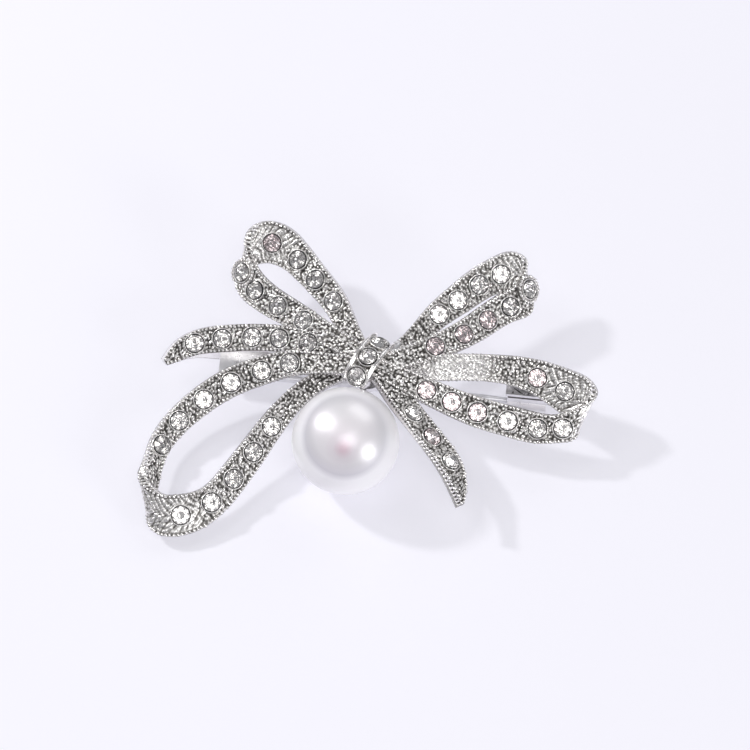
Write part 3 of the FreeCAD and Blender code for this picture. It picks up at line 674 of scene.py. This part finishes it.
def grey(value):
    return (value, value, value)


def shaded(colour, share):
    return tuple(channel * share for channel in colour)


def bump(nodes, links, shader, height, strength, distance):
    made = nodes.new("ShaderNodeBump")
    made.inputs["Strength"].default_value = strength
    made.inputs["Distance"].default_value = distance
    links.new(height, made.inputs["Height"])
    links.new(made.outputs["Normal"], shader.inputs["Normal"])


# From oxide in the depths to bare plate on what stands out.
PLATE_TONES = [(0.10, (0.09, 0.085, 0.08)), (0.34, (0.41, 0.395, 0.38)),
               (0.58, (0.85, 0.83, 0.81)), (0.80, (0.98, 0.96, 0.95))]


def antiqued_metal():
    """Bright plate on what stands out, dark patina left in what lies deep."""
    made, nodes, links, shader = material("antiqued_plate")
    wear = nodes.new("ShaderNodeAttribute")
    wear.attribute_name = "wear"
    patches = noise(nodes, links, 900)
    fine = noise(nodes, links, 6000)
    depth = mix(nodes, links, "MIX", 0.22, wear.outputs["Fac"], patches)
    colour = ramp(nodes, links, depth, PLATE_TONES)
    links.new(colour, shader.inputs["Base Color"])
    shader.inputs["Metallic"].default_value = 1.0
    rough = ramp(nodes, links, depth, [(0.1, grey(0.55)), (0.7, grey(0.26)), (1.0, grey(0.18))])
    links.new(rough, shader.inputs["Roughness"])
    bump(nodes, links, shader, fine, 0.55, 0.00006)
    return made


def plain_metal(name, colour, rough_low, rough_high, scale):
    """Smooth plate with faint polishing marks and cloudy roughness."""
    made, nodes, links, shader = material(name)
    clouds = noise(nodes, links, scale)
    fine = noise(nodes, links, scale * 12)
    tone = ramp(nodes, links, clouds, [(0.3, shaded(colour, 0.86)), (0.7, colour)])
    links.new(tone, shader.inputs["Base Color"])
    shader.inputs["Metallic"].default_value = 0.85
    rough = ramp(nodes, links, clouds, [(0.3, grey(rough_low)), (0.7, grey(rough_high))])
    links.new(rough, shader.inputs["Roughness"])
    bump(nodes, links, shader, fine, 0.12, 0.00002)
    return made


def crystal(name, colour):
    """The clear front of a stone."""
    made, nodes, links, shader = material(name)
    specks = noise(nodes, links, 2500)
    tone = ramp(nodes, links, specks, [(0.3, colour), (0.7, (1, 1, 1))])
    links.new(tone, shader.inputs["Base Color"])
    shader.inputs["Roughness"].default_value = 0.01
    shader.inputs["IOR"].default_value = 1.62
    shader.inputs["Transmission Weight"].default_value = 1.0
    return made


def foil(name, colour):
    """The silvered back of a stone, a little uneven."""
    made, nodes, links, shader = material(name)
    clouds = noise(nodes, links, 1800)
    tone = ramp(nodes, links, clouds, [(0.3, shaded(colour, 0.8)), (0.65, colour)])
    links.new(tone, shader.inputs["Base Color"])
    shader.inputs["Metallic"].default_value = 1.0
    shader.inputs["Roughness"].default_value = 0.07
    return made


PEARL_LOW, PEARL_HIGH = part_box("pearl")
PEARL = (PEARL_LOW + PEARL_HIGH) / 2
# Spots on the pearl's skin in metres, and how far each one's effect reaches.  A painted pink
# reflection lies a little below the crown.  Painted reflections make the pearl soft and grey about
# the crown and milky beyond a painted darker ring, and the ring fades towards the back right.
PINK_REFLECTION_SPOT = tuple(np.array(PEARL) + np.array([-0.0002, -0.0034, 0.0048]))
PINK_REFLECTION_WIDE = 0.0021
PAINTED_REFLECTION_SPOT = tuple(np.array(PEARL) + np.array([0.0, -0.00195, 0.00567]))
PAINTED_REFLECTION_WIDE = 0.0085
DARK_RING_FADES = tuple(np.array(PEARL) + np.array([0.0030, 0.0030, 0.0042]))
DARK_RING_WIDE = 0.0100
PAINTED_CROWN_TONE = (0.97, 0.93, 0.96)
PAINTED_RIM_TONE = (0.99, 0.985, 1.0)


def reach_from(nodes, links, place, spot, far):
    """0 at a spot in object coordinates, rising to 1 at the given distance."""
    away = nodes.new("ShaderNodeVectorMath")
    away.operation = "DISTANCE"
    away.inputs[1].default_value = spot
    links.new(place.outputs["Object"], away.inputs[0])
    scaled = nodes.new("ShaderNodeMapRange")
    scaled.inputs["From Max"].default_value = far
    links.new(away.outputs["Value"], scaled.inputs["Value"])
    return scaled.outputs["Result"]


def nacre():
    """Pearl colour with painted reflections: soft and grey about the crown, milky beyond a painted
    dark ring, with a painted pink reflection, and a silvery metallic share about the crown.
    """
    made, nodes, links, shader = material("nacre")
    place = nodes.new("ShaderNodeTexCoord")
    crown = reach_from(nodes, links, place, PAINTED_REFLECTION_SPOT, PAINTED_REFLECTION_WIDE)
    clouds = noise(nodes, links, 160, 2)
    # The painted reflections: soft grey about the crown, a painted dark ring where it has not
    # faded, and a painted milky rim of reflected floor beyond.
    plain = ramp(nodes, links, crown,
                 [(0.0, PAINTED_CROWN_TONE), (0.60, (0.95, 0.94, 0.97)), (0.85, PAINTED_RIM_TONE)])
    ringed = ramp(nodes, links, crown,
                  [(0.0, PAINTED_CROWN_TONE), (0.40, (0.92, 0.90, 0.93)), (0.56, (0.66, 0.65, 0.69)),
                   (0.66, (0.95, 0.945, 0.97)), (0.85, PAINTED_RIM_TONE)])
    fading = reach_from(nodes, links, place, DARK_RING_FADES, DARK_RING_WIDE)
    tone = mix(nodes, links, "MIX", fading, plain, ringed)
    tint = mix(nodes, links, "MULTIPLY", 0.5, tone,
               ramp(nodes, links, clouds, [(0.3, (0.98, 0.93, 0.97)), (0.7, (1, 1, 1))]))
    # A painted pink reflection a little below the crown.
    pink_reflection_reach = reach_from(nodes, links, place, PINK_REFLECTION_SPOT, PINK_REFLECTION_WIDE)
    blush = ramp(nodes, links, pink_reflection_reach,
                 [(0.15, (0.82, 0.68, 0.73)), (0.55, (0.93, 0.90, 0.92)), (1.0, (1, 1, 1))])
    tint = mix(nodes, links, "MULTIPLY", 1.0, tint, blush)
    links.new(tint, shader.inputs["Base Color"])
    sheen = ramp(nodes, links, crown, [(0.10, grey(0.24)), (0.56, grey(0.30)), (0.70, grey(0.0))])
    links.new(sheen, shader.inputs["Metallic"])
    shader.inputs["Roughness"].default_value = 0.34
    shader.inputs["Coat Weight"].default_value = 0.7
    shader.inputs["Coat Roughness"].default_value = 0.25
    bump(nodes, links, shader, noise(nodes, links, 2200, 2), 0.05, 0.00002)
    return made


PLATE = antiqued_metal()
SMOOTH = plain_metal("plain_plate", (0.96, 0.95, 0.97), 0.24, 0.40, 700)
WIRE = plain_metal("pin_wire", (0.93, 0.93, 0.96), 0.28, 0.42, 1500)
# A dark plain metal used only for the catch's painted shadow strip and painted dark reflections.
PAINTED_DARK_SHADE_AND_REFLECTION = plain_metal("painted_dark_shade_and_reflection", (0.10, 0.09, 0.09), 0.45, 0.60, 1500)
STONE_MATERIALS = [
    crystal("crystal_clear", (0.99, 0.99, 1.0)), foil("foil_silver", (1.0, 0.985, 0.97)),
    crystal("crystal_blush", (1.0, 0.975, 0.98)), foil("foil_blush", (1.0, 0.935, 0.935))]


# ------------------------------------------------------------------ pieces
ALL_EDGES = [(1, 1), (1, -1), (-1, 1), (-1, -1)]


def upper_face(name):
    """Which face of a ribbon, 1 or -1, looks up at its fourth station."""
    thick = stations(RIBBONS[name])[2]
    return 1 if thick[3][2] > 0 else -1


def place(piece, node, body, slot):
    """Say which body a piece rides and which node it stands in for, and hide that node.  slot, what
    it is made of, is not used.
    """
    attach(piece, body)
    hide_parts(node)
    return piece


# What sets single ribbons apart.  Stones are numbered along the ribbon, from 0.
BLUSH = {"upper_right_loop": (6, 7, 8), "right_loop": (0, 5, 6, 7), "upper_left_loop": (3,),
         "right_tail": (1,)}
CUPPED = {"upper_left_loop": (4,), "upper_right_loop": (4,)}
POLISHED = {"right_loop": 14.0}
SKIRT = {"left_tail": 1.35, "right_tail": -0.55}
COURSES = {ribbon: ribbon_course(ribbon) for ribbon in RIBBONS}
for ribbon, run in COURSES.items():
    upper_edges = [(1, upper_face(ribbon)), (-1, upper_face(ribbon))]
    corners = upper_edges if ribbon.endswith("tail") else ALL_EDGES
    neighbours = [stone for other, course in COURSES.items() if other != ribbon
                  for stone in course.stones]
    skirt = SKIRT.get(ribbon, 0.0)
    body = casting(run, corners, neighbours, plain_wall=skirt > 0,
                   polished=POLISHED.get(ribbon, 0.0), skirt=skirt)
    for number in CUPPED.get(ribbon, ()):
        add_cup(body, *run.stones[number])
    place(body.make(f"{ribbon}_casting", [PLATE]), ribbon, "brooch", "antiqued_plate")
    gems = stone_group(f"{ribbon}_crystals", run, STONE_MATERIALS, BLUSH.get(ribbon, ()))
    place(gems, f"{ribbon}_stones", "brooch", "stones")

band = knot_course()
knot = casting(band, [], plain_wall=True, wire_rim=WIRE_WIDE).make("knot_band", [PLATE])
place(knot, "knot", "brooch", "antiqued_plate")
place(stone_group("knot_crystals", band, STONE_MATERIALS, ()), "knot_stones", "brooch", "stones")


# The fold's middle from the knot's, its long direction and its half sizes.
FOLD_SPOT = (2.75, 1.75, 7.45)
FOLD_ALONG = (0.72, 0.85, 0.10)
FOLD_HALF = (1.05, 0.55, 0.38)
CREASE_DEEP = 0.35
CREASE_WIDE = 0.22


def fold_piece():
    """The smooth little fold of ribbon that shows beside the knot."""
    points, faces = ball(48, 32)
    crease = 1 - CREASE_DEEP * np.exp(-(points[:, 1] / CREASE_WIDE) ** 2)
    shaped = points * np.array(FOLD_HALF) * np.stack([np.ones(len(points)), crease, crease], 1)
    ahead = unit(np.array(FOLD_ALONG))
    side = unit(np.cross([0, 0, 1.0], ahead))
    where = np.array([ahead, side, np.cross(ahead, side)]), KNOT + np.array(FOLD_SPOT)
    parts = MeshParts()
    parts.add(placed(shaped, where), faces)
    return parts.make("knot_fold", [SMOOTH])


fold = fold_piece()
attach(fold, "brooch")


def pearl_piece():
    """The bead, as large as the solid and in its place."""
    radius = max(PEARL_HIGH - PEARL_LOW) / 2 / MM
    points, faces = ball(128, 80)
    parts = MeshParts()
    parts.add(points * radius + np.array(PEARL) / MM, faces)
    return parts.make("pearl_bead", [nacre()])


place(pearl_piece(), "pearl", "brooch", "nacre")


def prism(parts, outline, low, high, where):
    """A flat plate with a convex outline, from low to high."""
    count = len(outline)
    points = np.array([(x, y, z) for z in (low, high) for x, y in outline])
    faces = [tuple(range(count))[::-1], tuple(range(count, 2 * count))]
    faces += [(i, (i + 1) % count, count + (i + 1) % count, count + i) for i in range(count)]
    parts.add(placed(points, where), faces)


# Sizes on the catch, from the sleeve's axis.  The painted dark reflections are outlines on the
# plate's top.
DECK_TOP = 3.05
DECK_FRONT = -0.8
CATCH_LONG = 4.3
MARK_HIGH = 0.02
SHADOW_STRIP_LOW = 2.25
SHADOW_STRIP_HIGH = 0.3
CATCH_PAINTED_REFLECTIONS = [[(-1.75, -0.66), (-1.45, -0.66), (-1.60, -0.30)],
                 [(-1.55, 0.10), (-0.55, -0.50), (-0.35, -0.62), (-0.85, -0.50), (-1.50, -0.05)],
                 [(-0.05, -0.10), (0.95, -0.40), (0.10, -0.28)]]


def catch_painted_shade_and_reflections():
    """Dark patches painted on the catch: painted dark reflections on the top of its plate, and a
    painted shadow strip on its front above its rolled shell."""
    run = unit(CATCH - HINGE)
    up = np.array([0, 0, 1.0])
    where = np.array([run, np.cross(up, run), up]), CATCH
    parts = MeshParts()
    # Painted dark reflections on the plate's top.
    for outline in CATCH_PAINTED_REFLECTIONS:
        prism(parts, outline, DECK_TOP, DECK_TOP + MARK_HIGH, where)
    # A painted shadow strip on the front, below the plate's top and above the rolled shell.
    half = CATCH_LONG / 2
    shadow_strip = [(-half, DECK_FRONT - MARK_HIGH), (half, DECK_FRONT - MARK_HIGH),
            (half, DECK_FRONT + MARK_HIGH), (-half, DECK_FRONT + MARK_HIGH)]
    prism(parts, shadow_strip, SHADOW_STRIP_LOW, SHADOW_STRIP_LOW + SHADOW_STRIP_HIGH, where)
    return parts.make("catch_painted_shade_and_reflections", [PAINTED_DARK_SHADE_AND_REFLECTION], shade_smooth=False)


marks = catch_painted_shade_and_reflections()
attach(marks, "brooch")

# The solids that show as they are.
for node_name in ("pearl_cup", "back_plate", "pearl_peg", "hinge_bracket", "hinge_rivet",
                  "catch_shell", "catch_sleeve", "pin_stem"):
    mesh = frame["nodes"][node_name].data
    mesh.materials.clear()
    mesh.materials.append(WIRE if node_name == "pin_stem" else SMOOTH)


# ------------------------------------------------------------------ floor, light and camera
FLOOR_GLOW = 0.86       # keeps the shadows pale
FLOOR_SIZE = 4          # metres
WORLD_COLOUR = (0.93, 0.93, 0.97, 1)
WORLD_STRENGTH = 0.32
LIGHT_AIM = (0, 0, 0.005)

# Name, direction from the brooch, distance and size in metres, and power in watts.
SOFTBOXES = [
    ("key", (-0.70, 0.34, 0.64), 0.45, (0.035, 0.035), 0.85),
    ("left", (-0.50, 0.18, 0.83), 0.50, (0.20, 0.20), 0.27),
    ("over", (0.10, -0.44, 0.89), 0.62, (0.34, 0.26), 0.68),
    ("back", (0.45, 0.62, 0.64), 0.50, (0.36, 0.26), 0.30),
    ("front", (0.74, -0.59, 0.33), 0.47, (0.16, 0.16), 0.62)]

ELEVATION = math.radians(62)
CAMERA_FAR = 0.430
CAMERA_SINK = 0.00034   # how far below the aim the camera looks
LENS = 183.7
AIM = Vector(KNOT * MM) + Vector((0.00067, 0, 0.005))


def floor():
    made, nodes, links, shader = material("floor")
    clouds = noise(nodes, links, 8)
    tone = ramp(nodes, links, clouds, [(0.2, (0.50, 0.495, 0.535)), (0.8, (0.515, 0.51, 0.55))])
    links.new(tone, shader.inputs["Base Color"])
    links.new(tone, shader.inputs["Emission Color"])
    shader.inputs["Emission Strength"].default_value = FLOOR_GLOW
    shader.inputs["Roughness"].default_value = 0.7
    shader.inputs["Specular IOR Level"].default_value = 0.2
    bpy.ops.mesh.primitive_plane_add(size=FLOOR_SIZE, location=(0, 0, 0))
    plane = bpy.context.object
    plane.name = "floor"
    plane.data.materials.append(made)


def world():
    made = bpy.data.worlds.new("studio")
    made.use_nodes = True
    background = made.node_tree.nodes["Background"]
    background.inputs["Color"].default_value = WORLD_COLOUR
    background.inputs["Strength"].default_value = WORLD_STRENGTH
    bpy.context.scene.world = made


def softbox(name, toward, far, size, power):
    """A panel in the given direction, facing the brooch."""
    spot = unit(np.array(toward)) * far
    light = bpy.data.lights.new(name, "AREA")
    light.shape = "RECTANGLE"
    light.size, light.size_y = size
    light.energy = power
    made = bpy.data.objects.new(name, light)
    made.location = spot
    made.rotation_euler = (Vector(LIGHT_AIM) - Vector(spot)).to_track_quat("-Z", "Y").to_euler()
    bpy.context.scene.collection.objects.link(made)


def camera():
    data = bpy.data.cameras.new("camera")
    data.lens = LENS
    data.sensor_width = 36
    data.clip_start = 0.01
    back = Vector((0, -math.cos(ELEVATION), math.sin(ELEVATION)))
    up = Vector((0, math.sin(ELEVATION), math.cos(ELEVATION)))
    made = bpy.data.objects.new("camera", data)
    made.location = AIM - up * CAMERA_SINK + back * CAMERA_FAR
    made.rotation_euler = (-back).to_track_quat("-Z", "Y").to_euler()
    bpy.context.scene.collection.objects.link(made)
    bpy.context.scene.camera = made


floor()
world()
for lamp in SOFTBOXES:
    softbox(*lamp)
camera()
bpy.context.scene.view_settings.view_transform = "Standard"

bpy.context.view_layer.update()
